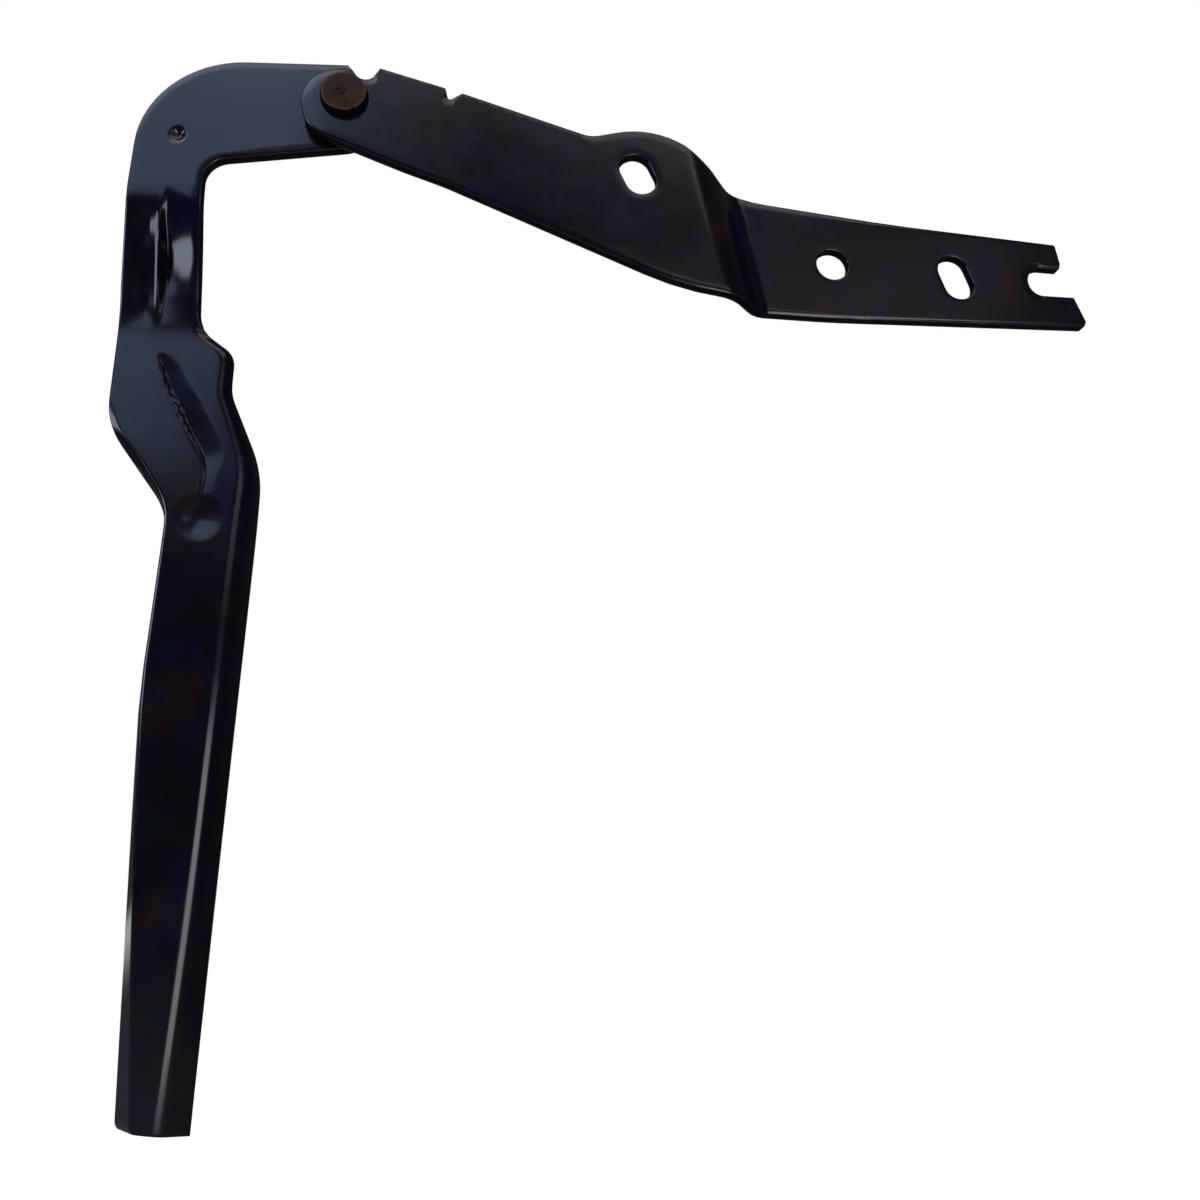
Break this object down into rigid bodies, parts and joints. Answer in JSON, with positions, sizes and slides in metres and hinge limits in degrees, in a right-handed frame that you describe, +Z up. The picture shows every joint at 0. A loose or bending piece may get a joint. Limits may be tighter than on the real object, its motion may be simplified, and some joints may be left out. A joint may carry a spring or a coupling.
{
  "type": "bonnet hinge",
  "caption": "Car bonnet hinge: a gooseneck arm with a long channel tongue, riveted to a joggled body bracket with bolt holes, a fork and a stop tab.",
  "frame": {"origin": "on the bracket's bolting face (the back of its forked tab), midway between the tab's round hole and its slotted hole", "axes": "+X from the pivot towards the bracket's fork, +Z up with the arm's tongue hanging towards -Z, +Y out of the bolting face into the body; the hinge turns about an axis along Y"},
  "size_m": [0.277, 0.0246, 0.2815],
  "materials": {
    "black_paint": "satin black paint over pressed steel",
    "painted_rivet_steel": "worn black paint over steel, slightly brown",
    "plated_steel": "plain plated steel",
    "bush_bronze": "plain sintered bronze"
  },
  "bodies": {
    "bracket_body": {"bracket": "black_paint", "pivot_rivet": "painted_rivet_steel", "spacer_washer": "plated_steel", "backing_washer": "plated_steel"},
    "arm_body": {"gooseneck_arm": "black_paint", "pivot_bush": "bush_bronze"}
  },
  "joints": [
    {"name": "bonnet_swing", "type": "hinge", "parent": "bracket_body", "child": "arm_body", "pos_m": [-0.1609, -0.0058, 0.0365], "axis": [0, 1, 0], "range_deg": [-68, 35]}
  ]
}
